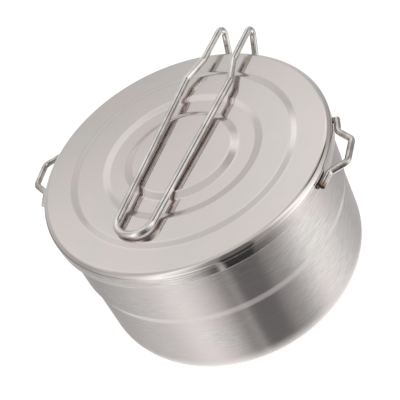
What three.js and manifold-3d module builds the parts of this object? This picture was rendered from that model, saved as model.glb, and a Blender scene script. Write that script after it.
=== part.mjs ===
// Stainless camping cook pot with a lid, a long wire handle that folds over the lid and two side grips.
// Millimetres, +Z up. The origin is the centre of the flat base and the long handle lies along Y.
import * as THREE from "three";
import { mergeVertices } from "three/addons/utils/BufferGeometryUtils.js";
import Module from "manifold-3d";

const wasm = await Module();
wasm.setup();

// Lid: a shallow pressed cap. Widths run inwards from its edge, and rises are above the outer flat.
const lidDiameter = 160;
const lidSheet = 0.8;
const lidShoulder = 3;
const lidSkirt = 3.6;
const outerFlat = 17.1;
const outerSlope = 3.6;
const outerRise = 1;
const middleFlat = 15.2;
const middleSlope = 3.5;
const grooveRise = 0.2;
const grooveFlat = 8.9;
const discSlope = 4.1;
const discRise = 1.9;
const pressRound = 1.6;

// Pot: a drawn shell with a rolled band under the lid and a small step half-way down the wall.
const potHeight = 96.8;
const potSheet = 0.8;
const bandHeight = 5.3;
const bandInset = 0.1;
const bandStep = 3.1;
const bandRound = 0.9;
const upperWall = 28.6;
const wallStep = 1.3;
const stepTaper = 5;
const stepRound = 3;
const baseCorner = 20.5;

// Long handle: one bent wire. Distances along it run from the knees, where it turns down behind the lid.
const handleWire = 3.8;
const handleOffset = -3.4;
const handleLift = 0.8;
const handleReach = 155.2;
const loopHalfWidth = 10.2;
const shoulderHalfWidth = 13.8;
const neckHalfWidth = 9.4;
const kneeHalfWidth = 9.2;
const pivotHalfWidth = 8;
const shoulderFromKnee = 45;
const neckFromKnee = 29.6;
const kneeOutside = 16.2;
const kneeRise = 1.1;
const loopBend = 10;
const neckBend = 6;
const kneeBend = 4.5;
const pivotBend = 3.3;
const pivotDrop = 14.7;
const pivotStandoff = 6.8;
const pivotTail = 1.5;

// Pivot bracket: a folded sheet channel welded to the wall, with a hole in each ear for the wire's ends.
const bracketSheet = 1.2;
const bracketHalfWidth = 4.2;
const bracketHalfHeight = 10;
const bracketStock = 4.8;
const noseRadius = 4.2;

// Side grips: bent wires whose feet follow the band.
const gripWire = 3.5;
const gripTurn = 9.2;
const gripStandoff = 7.2;
const gripHalfLength = 8.2;
const gripFootStart = 14;
const gripFootEnd = 23.3;
const gripBend = 4;

// Clearances and facets.
const seatGap = 0.3;
const rimGap = 0.4;
const pivotGap = 0.3;
const turnFacets = 60;
const wireSides = 12;
const roundTolerance = 0.2;
const bendSteps = 5;
const mergeDistance = 1e-4;
const leastRound = 1e-3;
const roundShare = 0.48;
const steepestMitre = 0.3;
const cutMargin = 1;

// Levels and radii that follow from the sizes above.
const lidRadius = lidDiameter / 2;
const lidTop = potHeight + seatGap + lidSheet;
const bandRadius = lidRadius - bandInset;
const bandTop = lidTop - lidSkirt - seatGap;
const bandBottom = bandTop - bandHeight;
const rimRadius = lidRadius - lidSheet - rimGap;
const wallRadius = bandRadius - bandStep;
const stepTop = bandBottom - bandStep / 2 - upperWall;
const stepBottom = stepTop - stepTaper;
const lowerRadius = wallRadius - wallStep;
const pivotY = wallRadius + pivotStandoff;
const pivotZ = bandBottom - pivotDrop;
const kneeY = lidRadius + kneeOutside;
const highestRise = Math.max(discRise, outerRise, grooveRise, 0);
const loopZ = lidTop + highestRise + handleLift + handleWire / 2;
const kneeZ = loopZ + kneeRise;
const bracketFace = wallRadius + seatGap + bracketSheet;

// Drops everything but the shared positions, so that a geometry is one closed body facing out.
function closedBody(source) {
  source.deleteAttribute("normal");
  source.deleteAttribute("uv");
  const merged = mergeVertices(source, mergeDistance);
  const corners = merged.index.array;
  const kept = [];
  const a = new THREE.Vector3();
  const b = new THREE.Vector3();
  const c = new THREE.Vector3();
  let volume = 0;
  for (let i = 0; i < corners.length; i += 3) {
    const triangle = [corners[i], corners[i + 1], corners[i + 2]];
    if (new Set(triangle).size < 3) {
      continue;
    }
    a.fromBufferAttribute(merged.attributes.position, triangle[0]);
    b.fromBufferAttribute(merged.attributes.position, triangle[1]);
    c.fromBufferAttribute(merged.attributes.position, triangle[2]);
    volume += a.dot(b.cross(c));
    kept.push(triangle);
  }
  if (volume < 0) {
    kept.forEach((triangle) => triangle.reverse());
  }
  merged.setIndex(kept.flat());
  return merged;
}

function toSolid(geometry) {
  const body = closedBody(geometry);
  const vertProperties = new Float32Array(body.attributes.position.array);
  const triVerts = new Uint32Array(body.index.array);
  return new wasm.Manifold(new wasm.Mesh({ numProp: 3, vertProperties, triVerts }));
}

function toGeometry(solid) {
  const mesh = solid.getMesh();
  const geometry = new THREE.BufferGeometry();
  geometry.setAttribute("position", new THREE.BufferAttribute(new Float32Array(mesh.vertProperties), 3));
  geometry.setIndex(Array.from(mesh.triVerts));
  return geometry;
}

// Rounds the inner corners of an open outline. A corner is [radius, height, rounding].
function roundedOutline(corners) {
  const at = (i) => new THREE.Vector2(corners[i][0], corners[i][1]);
  const outline = [at(0)];
  for (let i = 1; i < corners.length - 1; i += 1) {
    const corner = at(i);
    const back = at(i - 1).sub(corner);
    const ahead = at(i + 1).sub(corner);
    const rounding = corners[i][2] ?? 0;
    const room = Math.min(back.length(), ahead.length()) * roundShare;
    back.normalize();
    ahead.normalize();
    const half = Math.acos(THREE.MathUtils.clamp(back.dot(ahead), -1, 1)) / 2;
    const cut = Math.min(rounding / Math.tan(half), room);
    if (cut < leastRound) {
      outline.push(corner);
      continue;
    }
    const radius = cut * Math.tan(half);
    const middle = back.clone().add(ahead).normalize().multiplyScalar(radius / Math.sin(half)).add(corner);
    const from = corner.clone().addScaledVector(back, cut).sub(middle);
    const to = corner.clone().addScaledVector(ahead, cut).sub(middle);
    const sweep = Math.atan2(from.cross(to), from.dot(to));
    const facet = 2 * Math.acos(Math.max(1 - roundTolerance / radius, 0));
    const steps = Math.ceil(Math.abs(sweep) / facet);
    for (let step = 0; step <= steps; step += 1) {
      const turned = from.clone().rotateAround(new THREE.Vector2(), (sweep * step) / steps);
      outline.push(turned.add(middle));
    }
  }
  outline.push(at(corners.length - 1));
  return outline;
}

// Moves an open outline sideways by one sheet thickness, to its left.
function offsetOutline(outline, distance) {
  return outline.map((point, i) => {
    const before = point.clone().sub(outline[Math.max(i - 1, 0)]).normalize();
    const after = outline[Math.min(i + 1, outline.length - 1)].clone().sub(point).normalize();
    const along = before.clone().add(after).normalize();
    const leg = i === 0 ? after : before;
    const stretch = distance / Math.max(along.dot(leg), steepestMitre);
    return new THREE.Vector2(point.x - along.y * stretch, point.y + along.x * stretch);
  });
}

// Revolves a sheet whose outer face is the outline. The outline starts on the axis.
function revolvedSheet(corners, sheet) {
  const outside = roundedOutline(corners);
  const inside = offsetOutline(outside, sheet).reverse();
  inside[inside.length - 1].x = 0;
  const geometry = new THREE.LatheGeometry([...outside, ...inside], turnFacets);
  geometry.rotateX(Math.PI / 2);
  return closedBody(geometry);
}

// The centre line of a bent wire: straight runs joined by round bends, with one section at each station.
class WirePath extends THREE.Curve {
  constructor(corners) {
    super();
    this.stations = [];
    this.headings = [];
    const last = corners.length - 1;
    const heading = (i) => corners[i + 1].at.clone().sub(corners[i].at).normalize();
    this.addStation(corners[0].at.clone(), heading(0));
    for (let i = 1; i < last; i += 1) {
      this.addBend(corners[i].at, heading(i - 1), heading(i), corners[i].bend);
    }
    this.addStation(corners[last].at.clone(), heading(last - 1));
  }

  addStation(point, heading) {
    this.stations.push(point);
    this.headings.push(heading);
  }

  addBend(corner, incoming, outgoing, bend) {
    const turn = incoming.angleTo(outgoing);
    const axis = incoming.clone().cross(outgoing).normalize();
    const start = corner.clone().addScaledVector(incoming, -bend * Math.tan(turn / 2));
    const centre = start.clone().addScaledVector(axis.clone().cross(incoming), bend);
    const count = Math.max(2, Math.ceil((bendSteps * turn) / (Math.PI / 2)));
    for (let step = 0; step <= count; step += 1) {
      const angle = (turn * step) / count;
      const arm = start.clone().sub(centre).applyAxisAngle(axis, angle);
      this.addStation(arm.add(centre), incoming.clone().applyAxisAngle(axis, angle));
    }
  }

  getPoint(t, target = new THREE.Vector3()) {
    const place = t * (this.stations.length - 1);
    const index = Math.min(Math.floor(place), this.stations.length - 2);
    return target.lerpVectors(this.stations[index], this.stations[index + 1], place - index);
  }

  getPointAt(u, target) {
    return this.getPoint(u, target);
  }

  getTangentAt(u, target = new THREE.Vector3()) {
    return target.copy(this.headings[Math.round(u * (this.headings.length - 1))]);
  }
}

function bentWire(corners, diameter) {
  const path = new WirePath(corners);
  const section = new THREE.Shape();
  section.absarc(0, 0, diameter / 2, 0, Math.PI * 2);
  const steps = path.stations.length - 1;
  const geometry = new THREE.ExtrudeGeometry(section, {
    steps,
    curveSegments: wireSides / 2,
    extrudePath: path,
  });
  return closedBody(geometry);
}

function makeLid() {
  const slopeStart = lidRadius - outerFlat;
  const middleStart = slopeStart - outerSlope;
  const grooveSlopeStart = middleStart - middleFlat;
  const grooveStart = grooveSlopeStart - middleSlope;
  const discSlopeStart = grooveStart - grooveFlat;
  const discRadius = discSlopeStart - discSlope;
  const topFace = [
    [0, lidTop + discRise],
    [discRadius, lidTop + discRise, pressRound],
    [discSlopeStart, lidTop + grooveRise, pressRound],
    [grooveStart, lidTop + grooveRise, pressRound],
    [grooveSlopeStart, lidTop + outerRise, pressRound],
    [middleStart, lidTop + outerRise, pressRound],
    [slopeStart, lidTop, pressRound],
    [lidRadius, lidTop, lidShoulder],
    [lidRadius, lidTop - lidSkirt],
  ];
  return revolvedSheet(topFace, -lidSheet);
}

function makePot() {
  const outside = [
    [0, 0],
    [lowerRadius, 0, baseCorner],
    [lowerRadius, stepBottom, stepRound],
    [wallRadius, stepTop, stepRound],
    [wallRadius, bandBottom - bandStep / 2, bandRound],
    [bandRadius, bandBottom, bandRound],
    [bandRadius, bandTop, bandRound / 2],
    [rimRadius, bandTop, bandRound / 2],
    [rimRadius, potHeight],
  ];
  return revolvedSheet(outside, potSheet);
}

function makeLongHandle() {
  const tail = bracketHalfWidth - bracketSheet - pivotTail;
  const armZ = (fromKnee) => kneeZ - (kneeRise * fromKnee) / handleReach;
  const half = [
    { at: [tail, pivotY, pivotZ] },
    { at: [pivotHalfWidth, pivotY, pivotZ], bend: pivotBend },
    { at: [kneeHalfWidth, kneeY, kneeZ], bend: kneeBend },
    { at: [neckHalfWidth, kneeY - neckFromKnee, armZ(neckFromKnee)], bend: neckBend },
    { at: [shoulderHalfWidth, kneeY - shoulderFromKnee, armZ(shoulderFromKnee)], bend: neckBend },
    { at: [loopHalfWidth, kneeY - handleReach, loopZ], bend: Math.min(loopBend, loopHalfWidth - seatGap) },
  ];
  const place = (side) => ({ at: [x, y, z], bend }) => {
    return { at: new THREE.Vector3(handleOffset + side * x, y, z), bend };
  };
  const corners = [...half.map(place(1)), ...half.map(place(-1)).reverse()];
  return bentWire(corners, handleWire);
}

// The plate or bar that an outline makes when it is pushed through its own plane.
function pushedOutline(shape, depth) {
  return new THREE.ExtrudeGeometry(shape, { depth, bevelEnabled: false, curveSegments: wireSides });
}

function rectangle(left, right, low, high) {
  const shape = new THREE.Shape();
  shape.moveTo(left, low);
  shape.lineTo(right, low);
  shape.lineTo(right, high);
  shape.lineTo(left, high);
  return shape;
}

// A plan outline in X and Y, raised between two levels.
function raised(shape, low, high) {
  const geometry = pushedOutline(shape, high - low);
  geometry.translate(0, 0, low);
  return toSolid(geometry);
}

// A side outline in Y and Z, pushed across X on both sides of the handle's middle.
function across(shape, halfWidth) {
  const geometry = pushedOutline(shape, 2 * halfWidth);
  const turned = new THREE.Matrix4().makeBasis(
    new THREE.Vector3(0, 1, 0),
    new THREE.Vector3(0, 0, 1),
    new THREE.Vector3(1, 0, 0),
  );
  geometry.applyMatrix4(turned);
  geometry.translate(handleOffset - halfWidth, 0, 0);
  return toSolid(geometry);
}

function makeBracket() {
  const low = pivotZ - bracketHalfHeight;
  const high = pivotZ + bracketHalfHeight;
  const deep = wallRadius - bracketStock;
  const front = pivotY + noseRadius;
  const channel = raised(
    rectangle(handleOffset - bracketHalfWidth, handleOffset + bracketHalfWidth, deep, front),
    low,
    high,
  );
  const slotHalfWidth = bracketHalfWidth - bracketSheet;
  const slot = raised(
    rectangle(handleOffset - slotHalfWidth, handleOffset + slotHalfWidth, bracketFace, front + cutMargin),
    low - cutMargin,
    high + cutMargin,
  );
  const side = new THREE.Shape();
  side.moveTo(deep, low);
  side.lineTo(bracketFace, low);
  side.lineTo(pivotY, pivotZ - noseRadius);
  side.absarc(pivotY, pivotZ, noseRadius, -Math.PI / 2, Math.PI / 2);
  side.lineTo(bracketFace, high);
  side.lineTo(deep, high);
  const ears = channel.subtract(slot).intersect(across(side, bracketHalfWidth + cutMargin));
  const hole = new THREE.Shape();
  hole.absarc(pivotY, pivotZ, handleWire / 2 + pivotGap, 0, Math.PI * 2);
  const wall = new THREE.CylinderGeometry(wallRadius + seatGap, wallRadius + seatGap, potHeight, turnFacets);
  wall.rotateX(Math.PI / 2);
  wall.translate(0, 0, potHeight / 2);
  const cut = ears.subtract(toSolid(wall));
  return toGeometry(cut.subtract(across(hole, bracketHalfWidth + cutMargin)));
}

function makeSideGrip() {
  const footRadius = bandRadius + seatGap + gripWire / 2;
  const gripX = footRadius + gripStandoff;
  const height = (bandTop + bandBottom) / 2;
  const onBand = (y) => Math.sqrt(footRadius ** 2 - y ** 2);
  const middleFoot = (gripFootStart + gripFootEnd) / 2;
  const half = [
    { at: [onBand(gripFootEnd), gripFootEnd] },
    { at: [onBand(middleFoot), middleFoot], bend: footRadius },
    { at: [onBand(gripFootStart), gripFootStart], bend: gripBend },
    { at: [gripX, gripHalfLength], bend: gripBend },
  ];
  const place = (side) => ({ at: [x, y], bend }) => {
    return { at: new THREE.Vector3(x, side * y, height), bend };
  };
  return bentWire([...half.map(place(1)), ...half.map(place(-1)).reverse()], gripWire);
}

function piece(name, geometry, color, roughness) {
  const material = new THREE.MeshStandardMaterial({ color, roughness, metalness: 1 });
  const mesh = new THREE.Mesh(geometry, material);
  mesh.name = name;
  return mesh;
}

const pot = new THREE.Group();
pot.add(piece("pot_body", makePot(), 0xb9b4af, 0.32));
pot.add(piece("lid", makeLid(), 0xcdc8c3, 0.26));
pot.add(piece("long_handle", makeLongHandle(), 0xc9c6c2, 0.12));
pot.add(piece("handle_bracket", makeBracket(), 0xbdb9b4, 0.25));
for (const [name, turn] of [["side_grip_right", 0], ["side_grip_left", 180]]) {
  const grip = piece(name, makeSideGrip(), 0xc4c0bb, 0.16);
  grip.rotation.z = THREE.MathUtils.degToRad(gripTurn + turn);
  pot.add(grip);
}

export default pot;
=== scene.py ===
import math

import bmesh
import bpy
from mathutils import Matrix, Vector


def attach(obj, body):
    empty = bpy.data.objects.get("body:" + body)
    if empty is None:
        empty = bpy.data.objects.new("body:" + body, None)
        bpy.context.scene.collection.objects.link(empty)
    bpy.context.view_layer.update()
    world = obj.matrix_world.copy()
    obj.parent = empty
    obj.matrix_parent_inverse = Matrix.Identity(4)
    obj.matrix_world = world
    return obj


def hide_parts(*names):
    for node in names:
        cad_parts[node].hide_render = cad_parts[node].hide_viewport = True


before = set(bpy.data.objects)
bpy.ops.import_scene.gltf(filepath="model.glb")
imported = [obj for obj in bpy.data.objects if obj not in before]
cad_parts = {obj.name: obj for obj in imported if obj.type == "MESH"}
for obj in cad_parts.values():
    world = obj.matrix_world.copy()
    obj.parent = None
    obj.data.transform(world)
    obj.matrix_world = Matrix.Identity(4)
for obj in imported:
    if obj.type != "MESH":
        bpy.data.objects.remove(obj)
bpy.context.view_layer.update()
scene = bpy.context.scene
print("frame loaded:", sorted(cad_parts))


# small tools for hand modelling; all settings are in metres and degrees

toolSettings = {
    "mergeWithin": 1e-6,
    "ringWithin": 2e-6,  # how near a point lies to the ring it is picked for
    "roundProfile": 0.5,
    "leastBendSteps": 3,
    "normalWeight": 60,
}


def deselectAll():
    bpy.ops.object.select_all(action="DESELECT")


def pickEdges(piece, wanted):
    mesh = bmesh.from_edit_mesh(piece.data)
    for face in mesh.faces:
        face.select = False
    for edge in mesh.edges:
        edge.select = wanted(edge)
    mesh.select_flush_mode()
    bmesh.update_edit_mesh(piece.data)


def onRing(radius, height):
    within = toolSettings["ringWithin"]

    def wanted(edge):
        return all(
            abs(math.hypot(v.co.x, v.co.y) - radius) < within and abs(v.co.z - height) < within
            for v in edge.verts
        )

    return wanted


def addModifier(piece, kind, **settings):
    modifier = piece.modifiers.new(kind.lower(), kind)
    for name, value in settings.items():
        setattr(modifier, name, value)
    bpy.context.view_layer.objects.active = piece
    bpy.ops.object.modifier_apply(modifier=modifier.name)


def roundEdges(piece, sizes):
    addModifier(
        piece,
        "BEVEL",
        width=sizes["rounding"],
        segments=sizes["steps"],
        limit_method="ANGLE",
        angle_limit=math.radians(sizes["roundedFrom"]),
    )


def turnSheet(name, sizes):
    # outline rows are radius, height, setback of the rounding, steps of the rounding
    outline = sizes["outline"]
    radius, height = outline[0][:2]
    deselectAll()
    bpy.ops.mesh.primitive_circle_add(
        vertices=sizes["sides"], radius=radius, fill_type="TRIFAN", location=(0, 0, height)
    )
    piece = bpy.context.object
    piece.name = piece.data.name = name
    bpy.ops.object.transform_apply(location=True, rotation=True, scale=True)
    bpy.ops.object.mode_set(mode="EDIT")
    bpy.ops.mesh.select_mode(type="EDGE")
    pickEdges(piece, onRing(radius, height))
    for nextRadius, nextHeight in [row[:2] for row in outline[1:]]:
        bpy.ops.mesh.extrude_region_move(
            TRANSFORM_OT_translate={"value": (0, 0, nextHeight - height)}
        )
        scale = nextRadius / radius
        bpy.ops.transform.resize(value=(scale, scale, 1), center_override=(0, 0, 0))
        radius, height = nextRadius, nextHeight
    for ringRadius, ringHeight, setback, steps in outline[1:-1]:
        pickEdges(piece, onRing(ringRadius, ringHeight))
        bpy.ops.mesh.bevel(
            offset=setback,
            offset_type="OFFSET",
            segments=steps,
            profile=toolSettings["roundProfile"],
            affect="EDGES",
        )
    bpy.ops.mesh.select_all(action="SELECT")
    bpy.ops.mesh.normals_make_consistent(inside=False)
    bpy.ops.object.mode_set(mode="OBJECT")
    addModifier(piece, "SOLIDIFY", thickness=sizes["sheet"], offset=-1, use_even_offset=True)
    return piece


def bendWire(name, corners, sizes):
    # corners are place, bend radius; the first and last have no bend
    places = [Vector(place) for place, _ in corners]
    heading = (places[1] - places[0]).normalized()
    deselectAll()
    bpy.ops.mesh.primitive_circle_add(
        vertices=sizes["sides"],
        radius=sizes["wire"] / 2,
        fill_type="NGON",
        location=places[0],
        rotation=heading.to_track_quat("Z", "Y").to_euler(),
    )
    piece = bpy.context.object
    piece.name = piece.data.name = name
    bpy.ops.object.transform_apply(location=True, rotation=True, scale=True)
    bpy.ops.object.mode_set(mode="EDIT")
    bpy.ops.mesh.select_mode(type="FACE")
    bpy.ops.mesh.select_all(action="SELECT")
    here = places[0]
    for (place, bend), after in zip(corners[1:-1], places[2:]):
        place = Vector(place)
        onward = (after - place).normalized()
        turn = heading.angle(onward)
        axis = heading.cross(onward).normalized()
        start = place - heading * bend * math.tan(turn / 2)
        bpy.ops.mesh.extrude_region_move(TRANSFORM_OT_translate={"value": start - here})
        centre = start + axis.cross(heading) * bend
        steps = math.ceil(sizes["stepsPerTurn"] * turn / math.tau)
        bpy.ops.mesh.spin(
            steps=max(toolSettings["leastBendSteps"], steps), angle=-turn, center=centre, axis=axis
        )
        here = centre + Matrix.Rotation(turn, 3, axis) @ (start - centre)
        heading = onward
    bpy.ops.mesh.extrude_region_move(TRANSFORM_OT_translate={"value": places[-1] - here})
    bpy.ops.mesh.select_all(action="SELECT")
    bpy.ops.mesh.remove_doubles(threshold=toolSettings["mergeWithin"])
    bpy.ops.mesh.normals_make_consistent(inside=False)
    bpy.ops.object.mode_set(mode="OBJECT")
    roundEdges(piece, sizes)
    return piece


def smoothShade(piece, degrees):
    deselectAll()
    piece.select_set(True)
    bpy.context.view_layer.objects.active = piece
    bpy.ops.object.shade_smooth_by_angle(angle=math.radians(degrees))
    addModifier(piece, "WEIGHTED_NORMAL", keep_sharp=True, weight=toolSettings["normalWeight"])


def finishPiece(piece, body, node, material):
    piece.data.materials.clear()
    piece.data.materials.append(material)
    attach(piece, body)
    if node:
        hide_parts(node)
    print("made", piece.name, len(piece.data.polygons), "faces")


# node helpers; noise rows are scale, detail, roughness, and bump rows are strength, distance

mixSockets = {"RGBA": (0, 6, 7), "FLOAT": (0, 2, 3)}  # factor, first and second input
mixOutput = {"RGBA": 2, "FLOAT": 0}


def addNode(tree, kind, place, **settings):
    node = tree.nodes.new(kind)
    node.location = place
    for name, value in settings.items():
        setattr(node, name, value)
    return node


def feed(tree, socket, value):
    # colours and numbers are set on the socket, and other sockets are linked to it
    if isinstance(value, tuple):
        socket.default_value = (*value, 1)
    elif isinstance(value, (int, float)):
        socket.default_value = value
    else:
        tree.links.new(value, socket)


def workOut(tree, operation, place, *values):
    node = addNode(tree, "ShaderNodeMath", place, operation=operation)
    for socket, value in zip(node.inputs, values):
        feed(tree, socket, value)
    return node.outputs[0]


def mapRange(tree, value, fromRange, toRange, place, smooth=True):
    node = addNode(tree, "ShaderNodeMapRange", place)
    node.interpolation_type = "SMOOTHSTEP" if smooth else "LINEAR"
    names = ("Value", "From Min", "From Max", "To Min", "To Max")
    for name, entry in zip(names, (value, *fromRange, *toRange)):
        feed(tree, node.inputs[name], entry)
    return node.outputs[0]


def addNoise(tree, vector, noise, place):
    node = addNode(tree, "ShaderNodeTexNoise", place)
    for name, entry in zip(("Vector", "Scale", "Detail", "Roughness"), (vector, *noise)):
        feed(tree, node.inputs[name], entry)
    return node.outputs["Fac"]


def mixOf(tree, kind, factor, first, second, place):
    node = addNode(tree, "ShaderNodeMix", place, data_type=kind)
    for number, value in zip(mixSockets[kind], (factor, first, second)):
        feed(tree, node.inputs[number], value)
    return node.outputs[mixOutput[kind]]


# steel in general, and the grain that the pot and the lid share

grainSettings = {
    # lines in each metre, and how fast the noise changes round the pot
    "Lines": (2000, 12.0),
    "Smears": (1000, 8.0),
    "lineNoise": (1.0, 4.0, 0.72),
    "cloudNoise": (34, 3.0, 0.55),
    "leastRadius": 1e-4,  # nothing is divided by 0 on the pot's axis
    "blushRange": (0.38, 0.62),
    "blushShare": 0.8,
}


def makeTurnedGrain():
    # fine lines that run round the pot's axis, long smears beside them, and broad clouds
    look = grainSettings
    tree = bpy.data.node_groups.new("turnedGrain", "ShaderNodeTree")
    tree.interface.new_socket("Position", in_out="INPUT", socket_type="NodeSocketVector")
    for name in ("Lines", "Smears", "Clouds", "Height", "Radius"):
        tree.interface.new_socket(name, in_out="OUTPUT", socket_type="NodeSocketFloat")
    position = addNode(tree, "NodeGroupInput", (-900, 0)).outputs["Position"]
    out = addNode(tree, "NodeGroupOutput", (900, 0))
    split = addNode(tree, "ShaderNodeSeparateXYZ", (-700, 0))
    tree.links.new(position, split.inputs[0])
    x, y, height = split.outputs
    squareX = workOut(tree, "MULTIPLY", (-500, 200), x, x)
    squareY = workOut(tree, "MULTIPLY", (-500, 50), y, y)
    radius = workOut(tree, "SQRT", (-200, 120), workOut(tree, "ADD", (-350, 120), squareX, squareY))
    safeRadius = workOut(tree, "MAXIMUM", (-200, -40), radius, look["leastRadius"])
    turnX = workOut(tree, "DIVIDE", (0, -200), x, safeRadius)
    turnY = workOut(tree, "DIVIDE", (0, -350), y, safeRadius)
    across = workOut(tree, "ADD", (-50, 200), radius, height)
    outputs = {"Height": height, "Radius": radius}
    for row, name in enumerate(("Lines", "Smears")):
        perMetre, around = look[name]
        join = addNode(tree, "ShaderNodeCombineXYZ", (350, -200 - 300 * row))
        for axis, (value, scale) in enumerate(((turnX, around), (turnY, around), (across, perMetre))):
            place = (180, -100 - 300 * row - 100 * axis)
            tree.links.new(workOut(tree, "MULTIPLY", place, value, scale), join.inputs[axis])
        outputs[name] = addNoise(tree, join.outputs[0], look["lineNoise"], (550, -200 - 300 * row))
    outputs["Clouds"] = addNoise(tree, position, look["cloudNoise"], (550, 300))
    for name, socket in outputs.items():
        tree.links.new(socket, out.inputs[name])
    return tree


turnedGrain = makeTurnedGrain()


def startMaterial(name):
    material = bpy.data.materials.new(name)
    material.use_nodes = True
    tree = material.node_tree
    shader = tree.nodes["Principled BSDF"]
    shader.inputs["Metallic"].default_value = 1.0
    place = addNode(tree, "ShaderNodeTexCoord", (-1500, 0))
    return material, tree, shader, place.outputs["Object"]


def addGrain(tree, position):
    grain = addNode(tree, "ShaderNodeGroup", (-1250, 0))
    grain.node_tree = turnedGrain
    tree.links.new(position, grain.inputs["Position"])
    return grain.outputs


def addTwoTone(tree, value, look, place):
    tone = mapRange(tree, value, look["toneRange"], (0, 1), place)
    return mixOf(tree, "RGBA", tone, look["dark"], look["light"], (place[0] + 250, place[1]))


def addBlush(tree, colour, clouds, blush):
    # the steel turns a little warmer in broad, soft blotches
    look = grainSettings
    share = mapRange(tree, clouds, look["blushRange"], (0, look["blushShare"]), (-400, 550))
    return mixOf(tree, "RGBA", share, colour, blush, (-200, 300))


def addRoughness(tree, value, look):
    return mapRange(tree, value, look["roughRange"], look["roughness"], (-650, 0))


def addPolish(tree, rough, mask, polished):
    # the roughness goes over to the polished one where the mask is 1
    keep = workOut(tree, "SUBTRACT", (-450, -200), 1.0, mask)
    rough = workOut(tree, "MULTIPLY", (-450, 0), rough, keep)
    polish = workOut(tree, "MULTIPLY", (-300, -200), mask, polished)
    return workOut(tree, "ADD", (-150, 0), rough, polish)


def joinShader(tree, shader, colour, rough, height, bump):
    tree.links.new(colour, shader.inputs["Base Color"])
    tree.links.new(rough, shader.inputs["Roughness"])
    marks = addNode(tree, "ShaderNodeBump", (-250, -400))
    for name, value in zip(("Height", "Strength", "Distance"), (height, *bump)):
        feed(tree, marks.inputs[name], value)
    tree.links.new(marks.outputs["Normal"], shader.inputs["Normal"])


def brushRound(tree, shader, look):
    # the brushing follows the turned lines, so lights stretch across them
    shader.inputs["Anisotropic"].default_value = look["brushed"]
    shader.inputs["Anisotropic Rotation"].default_value = look["brushTurn"]
    tangent = addNode(tree, "ShaderNodeTangent", (-250, -650), direction_type="RADIAL", axis="Z")
    tree.links.new(tangent.outputs[0], shader.inputs["Tangent"])


# pot

potSettings = {
    "sides": 256,
    "sheet": 0.0008,
    "smoothBelow": 40,
    "outline": [
        (0.030, 0.0, 0, 1),
        (0.0755, 0.0, 0.0205, 18),
        (0.0755, 0.05355, 0.0009, 4),
        (0.0768, 0.05855, 0.0009, 4),
        (0.0768, 0.08715, 0.00055, 4),
        (0.0799, 0.0887, 0.00055, 4),
        (0.0799, 0.0940, 0.00045, 4),
        (0.0788, 0.0940, 0.0003, 3),
        # from here the rim leans in, clear of the lid's round shoulder
        (0.0788, 0.0951, 0.0005, 3),
        (0.0776, 0.0966, 0, 1),
    ],
    "dark": (0.505, 0.482, 0.466),
    "light": (0.725, 0.693, 0.671),
    "blush": (0.622, 0.564, 0.556),
    "lineShare": 0.62,
    "smearShare": 0.38,
    "toneRange": (0.36, 0.64),
    "roughRange": (0.3, 0.7),
    "roughness": (0.28, 0.34),
    "band": (0.0889, 0.0896),  # the polish starts between these heights
    "bandRoughness": 0.07,
    "brushed": 1.0,
    "brushTurn": 0.25,
    "bump": (0.08, 0.0002),
}


def makePotSteel():
    look = potSettings
    material, tree, shader, position = startMaterial("potSteel")
    grain = addGrain(tree, position)
    lines = workOut(tree, "MULTIPLY", (-950, 300), grain["Lines"], look["lineShare"])
    tone = workOut(tree, "MULTIPLY_ADD", (-800, 300), grain["Smears"], look["smearShare"], lines)
    colour = addTwoTone(tree, tone, look, (-650, 300))
    colour = addBlush(tree, colour, grain["Clouds"], look["blush"])
    band = mapRange(tree, grain["Height"], look["band"], (0, 1), (-650, -200))
    rough = addPolish(tree, addRoughness(tree, grain["Lines"], look), band, look["bandRoughness"])
    joinShader(tree, shader, colour, rough, grain["Lines"], look["bump"])
    brushRound(tree, shader, look)
    return material


potBody = turnSheet("potBody", potSettings)
smoothShade(potBody, potSettings["smoothBelow"])
finishPiece(potBody, "pot", "pot_body", makePotSteel())


# lid

lidSettings = {
    "sides": 256,
    "sheet": 0.0008,
    "smoothBelow": 40,
    "outline": [
        (0.012, 0.0998, 0, 1),
        (0.0276, 0.0998, 0.0007, 5),
        (0.0317, 0.0981, 0.0007, 5),
        (0.0406, 0.0981, 0.0007, 5),
        (0.0441, 0.0989, 0.0007, 5),
        (0.0593, 0.0989, 0.0007, 5),
        (0.0629, 0.0979, 0.0007, 5),
        (0.0800, 0.0979, 0.0034, 14),
        (0.0800, 0.0943, 0, 1),
    ],
    "dark": (0.624, 0.592, 0.566),
    "light": (0.666, 0.634, 0.606),
    "blush": (0.664, 0.596, 0.582),
    "toneRange": (0.7, 1.3),
    "roughRange": (0.3, 0.7),
    "roughness": (0.10, 0.14),
    "shoulder": (0.0760, 0.0782),  # the polish starts between these radii
    "shoulderRoughness": 0.06,
    "brushed": 0.3,
    "brushTurn": 0.25,
    "bump": (0.012, 0.0002),
}


def makeLidSteel():
    look = lidSettings
    material, tree, shader, position = startMaterial("lidSteel")
    grain = addGrain(tree, position)
    tone = workOut(tree, "ADD", (-900, 300), grain["Lines"], grain["Clouds"])
    colour = addTwoTone(tree, tone, look, (-650, 300))
    colour = addBlush(tree, colour, grain["Clouds"], look["blush"])
    edge = mapRange(tree, grain["Radius"], look["shoulder"], (0, 1), (-650, -200))
    rough = addPolish(tree, addRoughness(tree, grain["Lines"], look), edge, look["shoulderRoughness"])
    joinShader(tree, shader, colour, rough, grain["Lines"], look["bump"])
    brushRound(tree, shader, look)
    return material


lid = turnSheet("potLid", lidSettings)
smoothShade(lid, lidSettings["smoothBelow"])
finishPiece(lid, "lid", "lid", makeLidSteel())


# long handle

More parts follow.
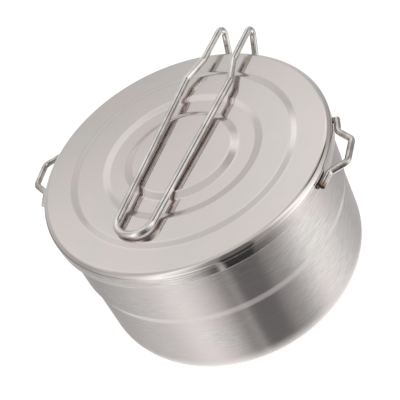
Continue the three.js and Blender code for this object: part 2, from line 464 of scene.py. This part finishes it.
handleSettings = {
    "wire": 0.0038,
    "sides": 32,
    "stepsPerTurn": 56,
    "smoothBelow": 40,
    "offset": -0.0038,
    "tailStart": 0.0015,
    "pivotHalf": 0.0080,
    "pivotY": 0.0836,
    "pivotZ": 0.0740,
    "pivotBend": 0.0033,
    "kneeHalf": 0.0092,
    "kneeY": 0.0962,
    "kneeZ": 0.1036,
    "kneeBend": 0.0045,
    "neckHalf": 0.0094,
    "neckY": 0.0666,
    "shoulderHalf": 0.0138,
    "shoulderY": 0.0512,
    "neckBend": 0.006,
    "loopHalf": 0.0100,
    "loopY": -0.0575,
    "loopZ": 0.1019,
    "loopBend": 0.0097,
    "rounding": 0.0004,
    "steps": 3,
    "roundedFrom": 60,
    "dark": (0.58, 0.555, 0.53),
    "light": (0.77, 0.735, 0.705),
    "marks": (90, 4, 0.6),
    "drawing": (420, 3, 0.6),
    "toneRange": (0.35, 0.65),
    "roughRange": (0.35, 0.65),
    "roughness": (0.04, 0.09),
    "bump": (0.05, 0.0003),
}


def makeWireSteel():
    look = handleSettings
    material, tree, shader, position = startMaterial("wireSteel")
    drawing = addNoise(tree, position, look["drawing"], (-950, 200))
    marks = addNoise(tree, position, look["marks"], (-950, -100))
    colour = addTwoTone(tree, marks, look, (-650, 200))
    rough = addRoughness(tree, drawing, look)
    joinShader(tree, shader, colour, rough, marks, look["bump"])
    return material


def handleCorners():
    # one half from its pivot end to the loop, and the other half back
    sizes = handleSettings
    slope = (sizes["kneeZ"] - sizes["loopZ"]) / (sizes["kneeY"] - sizes["loopY"])

    def onArm(half, y):
        return half, y, sizes["loopZ"] + slope * (y - sizes["loopY"])

    right = [
        ((sizes["tailStart"], sizes["pivotY"], sizes["pivotZ"]), 0),
        ((sizes["pivotHalf"], sizes["pivotY"], sizes["pivotZ"]), sizes["pivotBend"]),
        (onArm(sizes["kneeHalf"], sizes["kneeY"]), sizes["kneeBend"]),
        (onArm(sizes["neckHalf"], sizes["neckY"]), sizes["neckBend"]),
        (onArm(sizes["shoulderHalf"], sizes["shoulderY"]), sizes["neckBend"]),
        (onArm(sizes["loopHalf"], sizes["loopY"]), sizes["loopBend"]),
    ]
    left = [((-x, y, z), bend) for (x, y, z), bend in reversed(right)]
    return [((sizes["offset"] + x, y, z), bend) for (x, y, z), bend in right + left]


longHandle = bendWire("longHandle", handleCorners(), handleSettings)
smoothShade(longHandle, handleSettings["smoothBelow"])
finishPiece(longHandle, "handle", "long_handle", makeWireSteel())


# side grips

gripSettings = {
    "wire": 0.0035,
    "sides": 28,
    "stepsPerTurn": 56,
    "smoothBelow": 40,
    "turn": 9.2,
    "height": 0.09135,
    "footRadius": 0.08195,
    "standoff": 0.0072,
    "halfLength": 0.0076,
    "footStart": 0.014,
    "footEnd": 0.0233,
    "bend": 0.004,
    "rounding": 0.0004,
    "steps": 3,
    "roundedFrom": 60,
    "dark": (0.40, 0.375, 0.355),
    "light": (0.66, 0.625, 0.595),
    "marks": (160, 4, 0.65),
    "toneRange": (0.35, 0.65),
    "roughRange": (0.35, 0.65),
    "roughness": (0.04, 0.09),
    "bump": (0.08, 0.0003),
    "tint": (0.20, 0.11, 0.06),
    "tintRange": (0.0215, 0.0255),  # from the grip's middle, where the tint sets in and is full
    "tintWander": 0.004,
    # piece, node, degrees further round the pot, share of the tint
    "grips": [
        ("sideGripRight", "side_grip_right", 0, 0.9),
        ("sideGripLeft", "side_grip_left", 180, 0.25),
    ],
}


def gripCorners(turn):
    # one half from its foot to the straight run, and the other half back
    sizes = gripSettings
    foot = sizes["footRadius"]
    footMiddle = (sizes["footStart"] + sizes["footEnd"]) / 2

    def onBand(y):
        return math.sqrt(foot**2 - y**2), y

    half = [
        (*onBand(sizes["footEnd"]), 0),
        (*onBand(footMiddle), foot),
        (*onBand(sizes["footStart"]), sizes["bend"]),
        (foot + sizes["standoff"], sizes["halfLength"], sizes["bend"]),
    ]
    about = Matrix.Rotation(math.radians(turn), 3, "Z")
    whole = half + [(x, -y, bend) for x, y, bend in reversed(half)]
    return [(about @ Vector((x, y, sizes["height"])), bend) for x, y, bend in whole]


def makeGripSteel(name, turn, tintShare):
    look = gripSettings
    material, tree, shader, position = startMaterial(name)
    along = addNode(tree, "ShaderNodeMapping", (-1250, -300))
    along.inputs["Rotation"].default_value = (0, 0, -math.radians(turn))
    tree.links.new(position, along.inputs["Vector"])
    split = addNode(tree, "ShaderNodeSeparateXYZ", (-1050, -300))
    tree.links.new(along.outputs[0], split.inputs[0])
    marks = addNoise(tree, position, look["marks"], (-950, 200))
    wander = workOut(tree, "MULTIPLY", (-900, -450), marks, look["tintWander"])
    reach = workOut(tree, "SUBTRACT", (-750, -300), wander, split.outputs["Y"])
    burnt = mapRange(tree, reach, look["tintRange"], (0, tintShare), (-600, -300))
    steel = addTwoTone(tree, marks, look, (-650, 200))
    colour = mixOf(tree, "RGBA", burnt, steel, look["tint"], (-200, 200))
    rough = addRoughness(tree, marks, look)
    joinShader(tree, shader, colour, rough, marks, look["bump"])
    return material


for name, node, further, tintShare in gripSettings["grips"]:
    turn = gripSettings["turn"] + further
    grip = bendWire(name, gripCorners(turn), gripSettings)
    smoothShade(grip, gripSettings["smoothBelow"])
    finishPiece(grip, "pot", node, makeGripSteel(name + "Steel", turn, tintShare))


# weld beads between the grips' feet and the band

weldSettings = {
    "segments": 20,
    "rings": 12,
    "smoothBelow": 60,
    "reach": 0.0224,  # along the foot, from the grip's middle
    "radius": 0.0804,
    "length": 0.0046,
    "depth": 0.0018,
    "rise": 0.0026,
    "unevenness": 0.00022,
    "settling": 0.4,
    "settlingRounds": 2,
    "scorched": {"dark": (0.075, 0.045, 0.028), "light": (0.42, 0.35, 0.28)},
    "bright": {"dark": (0.26, 0.24, 0.22), "light": (0.60, 0.57, 0.54)},
    "patches": (520, 4, 0.6),
    "ripple": (2600, 3, 0.6),
    "toneRange": (0.40, 0.66),
    "roughRange": (0.35, 0.65),
    "roughness": (0.24, 0.46),
    "bump": (0.25, 0.0002),
    # piece, degrees that its grip is further round the pot, end of the grip, finish
    "welds": [
        ("weldRightNear", 0, -1, "scorched"),
        ("weldRightFar", 0, 1, "bright"),
        ("weldLeftNear", 180, 1, "bright"),
        ("weldLeftFar", 180, -1, "bright"),
    ],
}


def makeWeldSteel(finish):
    look = {**weldSettings, **weldSettings[finish]}
    material, tree, shader, position = startMaterial(finish + "Weld")
    patches = addNoise(tree, position, look["patches"], (-950, 200))
    ripple = addNoise(tree, position, look["ripple"], (-950, -100))
    colour = addTwoTone(tree, patches, look, (-650, 200))
    rough = addRoughness(tree, ripple, look)
    joinShader(tree, shader, colour, rough, ripple, look["bump"])
    return material


def layBead(name, turn, end, seed):
    sizes = weldSettings
    lean = math.asin(end * sizes["reach"] / sizes["radius"]) + math.radians(turn)
    place = (sizes["radius"] * math.cos(lean), sizes["radius"] * math.sin(lean), gripSettings["height"])
    deselectAll()
    bpy.ops.mesh.primitive_uv_sphere_add(
        segments=sizes["segments"],
        ring_count=sizes["rings"],
        radius=1 / 2,  # a ball 1 m across, scaled to the bead's size
        location=place,
        rotation=(0, 0, lean),
        scale=(sizes["depth"], sizes["length"], sizes["rise"]),
    )
    bead = bpy.context.object
    bead.name = bead.data.name = name
    bpy.ops.object.transform_apply(location=True, rotation=True, scale=True)
    bpy.ops.object.mode_set(mode="EDIT")
    bpy.ops.mesh.select_all(action="SELECT")
    bpy.ops.transform.vertex_random(offset=sizes["unevenness"], seed=seed)
    bpy.ops.mesh.vertices_smooth(factor=sizes["settling"], repeat=sizes["settlingRounds"])
    bpy.ops.object.mode_set(mode="OBJECT")
    addModifier(bead, "SUBSURF", levels=1, render_levels=1)
    return bead


weldSteels = {finish: makeWeldSteel(finish) for finish in ("scorched", "bright")}
for seed, (name, further, end, finish) in enumerate(weldSettings["welds"], 1):
    weld = layBead(name, gripSettings["turn"] + further, end, seed)
    smoothShade(weld, weldSettings["smoothBelow"])
    finishPiece(weld, "pot", None, weldSteels[finish])


# handle bracket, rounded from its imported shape

bracketSettings = {
    "smoothBelow": 35,
    "flatWithin": 1.0,
    "rounding": 0.0003,
    "steps": 2,
    "roundedFrom": 40,
    "dark": (0.50, 0.485, 0.465),
    "light": (0.66, 0.64, 0.615),
    "grainScale": (1800, 1800, 90),  # the sheet's rolling runs up and down
    "rolling": (1, 3, 0.6),
    "marks": (120, 4, 0.6),
    "toneRange": (0.8, 1.2),
    "roughRange": (0.3, 0.7),
    "roughness": (0.18, 0.32),
    "bump": (0.06, 0.0002),
}


def makeBracketSteel():
    look = bracketSettings
    material, tree, shader, position = startMaterial("bracketSteel")
    along = addNode(tree, "ShaderNodeMapping", (-1250, 0))
    along.inputs["Scale"].default_value = look["grainScale"]
    tree.links.new(position, along.inputs["Vector"])
    rolling = addNoise(tree, along.outputs[0], look["rolling"], (-950, 200))
    marks = addNoise(tree, position, look["marks"], (-950, -100))
    tone = workOut(tree, "ADD", (-800, 200), rolling, marks)
    colour = addTwoTone(tree, tone, look, (-650, 200))
    rough = addRoughness(tree, rolling, look)
    joinShader(tree, shader, colour, rough, rolling, look["bump"])
    return material


def roundBracket():
    sizes = bracketSettings
    piece = bpy.data.objects.new("handleBracket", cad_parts["handle_bracket"].data.copy())
    piece.data.name = piece.name
    scene.collection.objects.link(piece)
    deselectAll()
    piece.select_set(True)
    bpy.context.view_layer.objects.active = piece
    bpy.ops.object.mode_set(mode="EDIT")
    bpy.ops.mesh.select_all(action="SELECT")
    bpy.ops.mesh.remove_doubles(threshold=toolSettings["mergeWithin"])
    bpy.ops.mesh.dissolve_limited(angle_limit=math.radians(sizes["flatWithin"]))
    bpy.ops.object.mode_set(mode="OBJECT")
    roundEdges(piece, sizes)
    return piece


handleBracket = roundBracket()
smoothShade(handleBracket, bracketSettings["smoothBelow"])
finishPiece(handleBracket, "pot", "handle_bracket", makeBracketSteel())


# floor

floorSettings = {
    "size": 6.0,
    "squares": 12,
    "drop": 0.0004,
    "glow": 0.76,
    "colour": (0.5, 0.5, 0.5),
}


def makeFloor():
    look = floorSettings
    deselectAll()
    bpy.ops.mesh.primitive_grid_add(
        x_subdivisions=look["squares"],
        y_subdivisions=look["squares"],
        size=look["size"],
        location=(0, 0, -look["drop"]),
    )
    floor = bpy.context.object
    floor.name = "floor"
    material = bpy.data.materials.new("paleFloor")
    material.use_nodes = True
    tree = material.node_tree
    tree.nodes.clear()
    out = addNode(tree, "ShaderNodeOutputMaterial", (600, 0))
    add = addNode(tree, "ShaderNodeAddShader", (400, 0))
    paint = addNode(tree, "ShaderNodeBsdfDiffuse", (100, 100))
    feed(tree, paint.inputs["Color"], look["colour"])
    glow = addNode(tree, "ShaderNodeEmission", (100, -100))
    rays = addNode(tree, "ShaderNodeLightPath", (-500, -100)).outputs
    seen = workOut(tree, "MAXIMUM", (-300, -100), rays["Is Camera Ray"], rays["Is Glossy Ray"])
    seen = workOut(tree, "MAXIMUM", (-150, -100), seen, rays["Is Transmission Ray"])
    strength = workOut(tree, "MULTIPLY", (0, -200), seen, look["glow"])
    tree.links.new(strength, glow.inputs["Strength"])
    tree.links.new(paint.outputs[0], add.inputs[0])
    tree.links.new(glow.outputs[0], add.inputs[1])
    tree.links.new(add.outputs[0], out.inputs["Surface"])
    floor.data.materials.append(material)
    floor.visible_glossy = False  # the steel mirrors the room below the horizon instead


makeFloor()


# room that the steel mirrors

roomSettings = {
    # brightness round the pot at four levels, by degrees from the side that faces the camera
    "facing": -45.4,
    "deep": [
        (-180, 1.85), (-146, 1.75), (-120, 1.60), (-105, 1.42), (-85, 1.16), (-70, 1.06), (-54, 1.16),
        (-40, 0.84), (-30, 0.48), (-23, 0.16), (-18, 0.10), (-16.5, 0.78), (-13, 0.72), (-12, 0.02),
        (12, 0.03), (24, 0.22), (32, 0.36), (40, 0.54), (50, 0.88), (58, 1.16), (66, 1.12),
        (82, 1.00), (98, 1.26), (120, 1.52), (146, 1.70), (180, 1.85),
    ],
    "below": [
        (-180, 0.85), (-160, 0.64), (-146, 0.56), (-134, 0.55), (-120, 0.58), (-105, 0.62), (-85, 0.76),
        (-70, 0.96), (-54, 1.20), (-46, 0.98), (-40, 0.80), (-30, 0.52), (-22, 0.22), (-17, 0.17),
        (-15.5, 0.54), (-13, 0.50), (-12, 0.07), (12, 0.07), (13.5, 0.23), (24, 0.29), (32, 0.46),
        (40, 0.72), (50, 1.05), (58, 1.28), (66, 1.15), (82, 0.84), (98, 0.62), (112, 0.60),
        (124, 0.66), (146, 0.74), (180, 0.85),
    ],
    "level": [
        (-180, 1.75), (-166, 1.05), (-158, 0.76), (-142, 0.32), (-120, 0.32), (-100, 0.34), (-85, 0.45),
        (-70, 0.78), (-54, 1.62), (-44, 1.58), (-38, 1.42), (-30, 1.20), (-22, 0.80), (-13, 0.28),
        (-12, 0.04), (12, 0.04), (14, 0.40), (26, 0.60), (34, 1.08), (42, 1.56), (50, 1.88), (66, 1.75),
        (74, 1.08), (86, 0.70), (98, 0.37), (112, 0.32), (128, 0.42), (140, 0.62), (152, 0.88),
        (164, 1.20), (180, 1.75),
    ],
    "above": [
        (-180, 0.96), (-176, 0.99), (-168, 1.06), (-150, 0.97), (-128, 0.80), (-105, 0.67), (-85, 0.72),
        (-70, 1.00), (-54, 1.50), (-40, 1.10), (-30, 0.72), (-22, 0.40), (-13, 0.32), (-12, 0.18),
        (12, 0.18), (14, 0.35), (28, 0.55), (40, 1.00), (55, 1.55), (66, 1.40), (82, 0.90),
        (100, 0.66), (128, 0.75), (150, 1.00), (160, 1.08), (170, 1.08), (176, 0.98), (180, 0.96),
    ],
    # elevations where one level gives way to the next
    "deepToBelow": (-52, -41.5),
    "belowToLevel": (-30, -16),
    "levelToAbove": (-9, 1),
    # the backdrop's brightness by elevation, and where it starts round the pot
    "backdrop": [
        (-90, 0.85), (20, 0.74), (35, 0.72), (37, 0.82), (39, 0.93), (42, 0.97), (48, 1.02), (56, 0.97),
    ],
    "backdropFrom": (85, 115),
    # patches high on the right, the last one bright: turn, elevation, depth, outer and inner size
    "patches": [
        (97, 49, 0.92, 11, 4), (107, 42, 0.95, 9, 5), (119, 55, 0.14, 12, 5), (134, 39, -0.52, 14, 5),
    ],
    "overhead": 0.79,
    "overheadFrom": (56, 74),
    "underneath": 1.8,
    "underneathFrom": (-61, -77),
    "fill": 0.75,
    "white": 1.0,
    "allRound": (-180, 180),
    "allHeights": (-90, 90),
}


def inRadians(degrees):
    return [math.radians(number) for number in degrees]


def makeRamp(tree, value, stops, span, place):
    low, high = span
    spread = mapRange(tree, value, inRadians(span), (0, 1), place, smooth=False)
    ramp = addNode(tree, "ShaderNodeValToRGB", (place[0] + 200, place[1]))
    tree.links.new(spread, ramp.inputs[0])
    points = ramp.color_ramp.elements
    while len(points) < len(stops):
        points.new(0.5)  # moved to its place below
    brightest = max(level for _, level in stops)
    for point, (degrees, level) in zip(points, stops):
        point.position = (degrees - low) / (high - low)
        point.color = (level / brightest,) * 3 + (1,)
    return workOut(tree, "MULTIPLY", (place[0] + 500, place[1]), ramp.outputs["Color"], brightest)


def mixLevels(tree, value, degrees, first, second, place):
    share = mapRange(tree, value, inRadians(degrees), (0, 1), (place[0] - 200, place[1] - 150))
    return mixOf(tree, "FLOAT", share, first, second, place)


def makeBackdrop(tree, turned, rise):
    look = roomSettings
    lift = makeRamp(tree, rise, look["backdrop"], look["allHeights"], (0, -900))
    away = workOut(tree, "ABSOLUTE", (0, -1100), turned)
    return mixLevels(tree, away, look["backdropFrom"], 1.0, lift, (700, -900))


def makePatches(tree, direction):
    look = roomSettings
    light = 1.0
    for row, (turn, rise, depth, *sizes) in enumerate(look["patches"]):
        y = -600 - 200 * row
        edges = [math.cos(size) for size in inRadians(sizes)]
        turn, rise = inRadians((turn + look["facing"], rise))
        near = addNode(tree, "ShaderNodeVectorMath", (0, y), operation="DOT_PRODUCT")
        near.inputs[1].default_value = (
            math.cos(turn) * math.cos(rise),
            math.sin(turn) * math.cos(rise),
            math.sin(rise),
        )
        tree.links.new(direction, near.inputs[0])
        shade = mapRange(tree, near.outputs["Value"], edges, (1, 1 - depth), (200, y))
        join = "MINIMUM" if depth > 0 else "MULTIPLY"
        light = workOut(tree, join, (400, y), shade, light)
    return light


def makeLevels(tree, direction):
    look = roomSettings
    split = addNode(tree, "ShaderNodeSeparateXYZ", (-700, 0))
    tree.links.new(direction, split.inputs[0])
    turn = workOut(tree, "ARCTAN2", (-500, 100), split.outputs["Y"], split.outputs["X"])
    turn = workOut(tree, "SUBTRACT", (-350, 100), turn, math.radians(look["facing"]))
    turned = workOut(tree, "WRAP", (-200, 100), turn, math.pi, -math.pi)
    rise = workOut(tree, "ARCSINE", (-500, -150), split.outputs["Z"])
    level = makeRamp(tree, turned, look["deep"], look["allRound"], (0, 200))
    for row, (name, share) in enumerate(
        (("below", "deepToBelow"), ("level", "belowToLevel"), ("above", "levelToAbove"))
    ):
        upper = makeRamp(tree, turned, look[name], look["allRound"], (0, 500 + 300 * row))
        if name == "above":
            upper = workOut(tree, "MULTIPLY", (550, 800), upper, makeBackdrop(tree, turned, rise))
        level = mixLevels(tree, rise, look[share], level, upper, (700, 300 + 200 * row))
    level = workOut(tree, "MULTIPLY", (900, 300), level, makePatches(tree, direction))
    for row, name in enumerate(("overhead", "underneath")):
        level = mixLevels(tree, rise, look[name + "From"], level, look[name], (1000, 100 - 200 * row))
    return level


def makeRoom():
    # the camera sees white, the steel mirrors the levels, and a plain fill lights the rest
    look = roomSettings
    world = bpy.data.worlds.new("room")
    scene.world = world
    world.use_nodes = True
    tree = world.node_tree
    tree.nodes.clear()
    out = addNode(tree, "ShaderNodeOutputWorld", (1900, 0))
    direction = addNode(tree, "ShaderNodeTexCoord", (-900, 0)).outputs["Generated"]
    rays = addNode(tree, "ShaderNodeLightPath", (1000, 500)).outputs
    lights = []
    for row, strength in enumerate((look["fill"], makeLevels(tree, direction), look["white"])):
        light = addNode(tree, "ShaderNodeBackground", (1300, -200 * row))
        feed(tree, light.inputs["Color"], (1, 1, 1))
        feed(tree, light.inputs["Strength"], strength)
        lights.append(light.outputs[0])
    mirrored = workOut(tree, "MAXIMUM", (1200, 500), rays["Is Glossy Ray"], rays["Is Transmission Ray"])
    seen = lights[0]
    for row, (ray, light) in enumerate(((mirrored, lights[1]), (rays["Is Camera Ray"], lights[2]))):
        choice = addNode(tree, "ShaderNodeMixShader", (1500 + 200 * row, 0))
        for socket, value in zip(choice.inputs, (ray, seen, light)):
            tree.links.new(value, socket)
        seen = choice.outputs[0]
    tree.links.new(seen, out.inputs["Surface"])


makeRoom()


# camera

cameraSettings = {
    "place": (0.30382, -0.33040, 0.47033),
    "heading": 132.92,
    "dip": -42.16,
    "roll": -27.91,
    "lens": 100.64,
    "sensor": 36,
    "nearest": 0.01,
}


def makeCamera():
    sizes = cameraSettings
    data = bpy.data.cameras.new("photoCamera")
    camera = bpy.data.objects.new("photoCamera", data)
    scene.collection.objects.link(camera)
    data.lens = sizes["lens"]
    data.sensor_width = sizes["sensor"]
    data.clip_start = sizes["nearest"]
    heading, dip, roll = inRadians((sizes["heading"], sizes["dip"], sizes["roll"]))
    ahead = Vector(
        (math.cos(heading) * math.cos(dip), math.sin(heading) * math.cos(dip), math.sin(dip))
    )
    right = Matrix.Rotation(roll, 3, -ahead) @ ahead.cross(Vector((0, 0, 1))).normalized()
    up = right.cross(ahead)
    turned = Matrix((right, up, -ahead)).transposed()
    camera.matrix_world = Matrix.Translation(sizes["place"]) @ turned.to_4x4()
    scene.camera = camera


makeCamera()
scene.view_settings.view_transform = "Standard"
print("stage ready")
